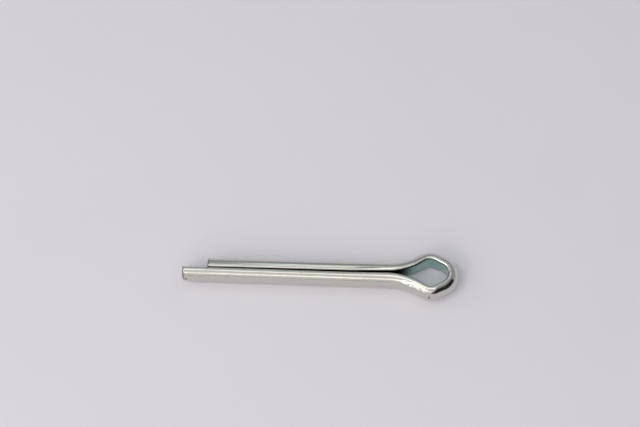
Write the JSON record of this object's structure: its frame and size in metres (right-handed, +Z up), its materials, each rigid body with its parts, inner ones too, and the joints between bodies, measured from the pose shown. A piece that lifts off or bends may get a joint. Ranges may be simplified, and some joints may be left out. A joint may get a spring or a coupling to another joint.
{
  "type": "split cotter pin",
  "caption": "Split cotter pin of half-round wire, folded to an eye, with one leg longer than the other and both ends cut square.",
  "frame": {"origin": "on the shank's axis, at the shoulder where the legs start to spread into the eye", "axes": "+X along the shank towards the eye, +Z up and square to the eye's plane, -Y towards the long leg"},
  "size_m": [0.0544, 0.0098, 0.0046],
  "materials": {
    "wire": "bright zinc plate over drawn steel wire"
  },
  "bodies": {
    "root": {"cotter_pin": "wire"}
  },
  "joints": []
}
